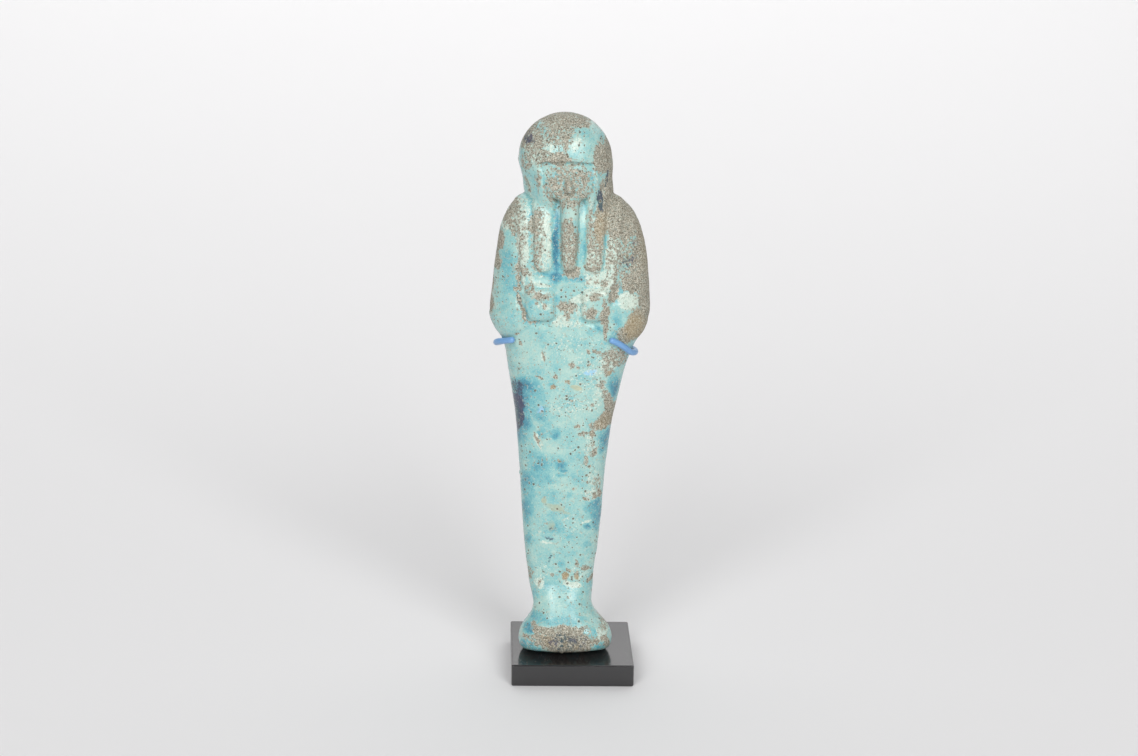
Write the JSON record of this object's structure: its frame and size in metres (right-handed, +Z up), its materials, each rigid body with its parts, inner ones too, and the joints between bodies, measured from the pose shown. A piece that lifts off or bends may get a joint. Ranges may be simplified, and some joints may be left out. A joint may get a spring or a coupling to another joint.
{
  "type": "ushabti figurine on a display mount",
  "caption": "Mummiform faience funerary figurine with wig, false beard and crossed arms, held upright by a coated wire cradle and rod on a square block.",
  "frame": {"origin": "centre of the base block's underside, in the plane that the mount stands on", "axes": "+Z up along the figure from its feet to its wig, -Y the way the figure faces, +X to a viewer's right when looking at its face"},
  "size_m": [0.0486, 0.038, 0.1768],
  "materials": {
    "faience": "worn turquoise alkaline glaze with brown losses",
    "black_lacquer": "satin black lacquer",
    "black_rod": "satin black paint",
    "blue_coat": "satin blue coating"
  },
  "bodies": {
    "root": {"ushabti": "faience", "base_block": "black_lacquer", "upright_rod": "black_rod", "cradle_wire": "blue_coat"}
  },
  "joints": []
}
